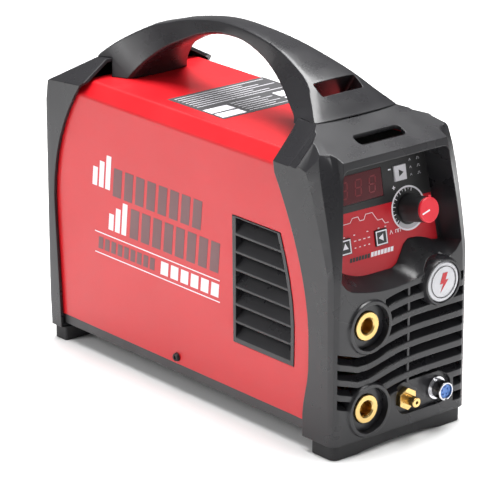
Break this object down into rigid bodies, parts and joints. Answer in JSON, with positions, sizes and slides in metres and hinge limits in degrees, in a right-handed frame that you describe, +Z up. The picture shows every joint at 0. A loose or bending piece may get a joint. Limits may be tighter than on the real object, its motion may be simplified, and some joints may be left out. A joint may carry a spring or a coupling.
{
  "type": "tig welder",
  "caption": "Portable TIG inverter welder with a red sheet cover, dark plastic bezels, an arched carrying handle and a recessed control panel.",
  "frame": {"origin": "on the floor, under the middle of the machine's box", "axes": "+Z up, -Y towards the control panel, +Y towards the rear, +X to the right seen from the front"},
  "size_m": [0.148, 0.421, 0.3164],
  "materials": {
    "red_enamel": "satin",
    "dark_enamel": "satin",
    "black_plastic": "moulded satin",
    "foot_rubber": "matte",
    "knob_plastic": "satin",
    "red_cap": "gloss",
    "light_key": "satin",
    "dark_key": "satin",
    "window_red": "gloss",
    "circuit_board": "satin",
    "module_black": "satin",
    "brass_metal": "turned",
    "chrome_metal": "polished",
    "blue_insert": "gloss",
    "badge_metal": "brushed",
    "zinc_steel": "zinc plated",
    "copper_metal": "bare copper",
    "heat_sink": "extruded",
    "ferrite": "matte",
    "hose": "satin"
  },
  "bodies": {
    "machine": {"cover": "red_enamel", "base_tray": "dark_enamel", "front_bezel": "black_plastic", "rear_bezel": "black_plastic", "handle": "black_plastic", "side_grille_left": "black_plastic", "side_grille_right": "black_plastic", "control_panel": "black_plastic", "front_foot": "foot_rubber", "rear_foot": "foot_rubber", "display_window": "window_red", "display_module": "module_black", "potentiometer": "zinc_steel", "control_board": "circuit_board", "upper_socket": "brass_metal", "lower_socket": "brass_metal", "upper_insulator": "black_plastic", "lower_insulator": "black_plastic", "upper_socket_nut": "brass_metal", "lower_socket_nut": "brass_metal", "upper_bus_bar": "copper_metal", "lower_bus_bar": "copper_metal", "gas_outlet": "brass_metal", "gas_outlet_nut": "brass_metal", "remote_connector_shell": "chrome_metal", "remote_connector_insert": "blue_insert", "remote_connector_nut": "chrome_metal", "badge": "badge_metal", "power_switch_housing": "knob_plastic", "cable_gland": "knob_plastic", "cable_gland_nut": "knob_plastic", "gas_inlet": "brass_metal", "gas_valve": "zinc_steel", "gas_hose": "hose", "fan_frame": "module_black", "main_board": "circuit_board", "primary_heat_sink": "heat_sink", "secondary_heat_sink": "heat_sink", "capacitor_1": "module_black", "capacitor_2": "module_black", "capacitor_3": "module_black", "transformer_core": "ferrite", "transformer_winding": "copper_metal", "output_choke": "copper_metal", "arc_start_coil": "copper_metal", "cover_screw_left": "zinc_steel", "cover_screw_right": "zinc_steel", "tray_screw_front_left": "zinc_steel", "tray_screw_front_right": "zinc_steel", "tray_screw_rear_left": "zinc_steel", "tray_screw_rear_right": "zinc_steel"},
    "current_knob": {"amperage_knob": "knob_plastic", "knob_cap": "red_cap", "potentiometer_shaft": "zinc_steel"},
    "mode_key": {"mode_key": "light_key"},
    "select_key": {"select_key": "dark_key"},
    "up_key": {"up_key": "dark_key"},
    "power_rocker": {"power_switch_rocker": "knob_plastic"},
    "fan": {"fan_rotor": "module_black"}
  },
  "joints": [
    {"name": "current_knob_turn", "type": "hinge", "parent": "machine", "child": "current_knob", "pos_m": [0.031, -0.17009, 0.1891], "axis": [0, -0.9833, 0.1822], "range_deg": [-255, 35]},
    {"name": "mode_key_press", "type": "slide", "parent": "machine", "child": "mode_key", "axis": [0, 0.9833, -0.1822], "range_m": [0, 0.0005], "stiffness_N_per_m": 2500},
    {"name": "select_key_press", "type": "slide", "parent": "machine", "child": "select_key", "axis": [0, 0.9833, -0.1822], "range_m": [0, 0.0005], "stiffness_N_per_m": 2500},
    {"name": "up_key_press", "type": "slide", "parent": "machine", "child": "up_key", "axis": [0, 0.9833, -0.1822], "range_m": [0, 0.0005], "stiffness_N_per_m": 2500},
    {"name": "power_rocker_tilt", "type": "hinge", "parent": "machine", "child": "power_rocker", "pos_m": [-0.03, 0.18838, 0.205], "axis": [0, 0, 1], "range_deg": [-20, 0]},
    {"name": "fan_spin", "type": "hinge", "parent": "machine", "child": "fan", "pos_m": [0, 0.161, 0.108], "axis": [0, 1, 0], "continuous": true}
  ]
}
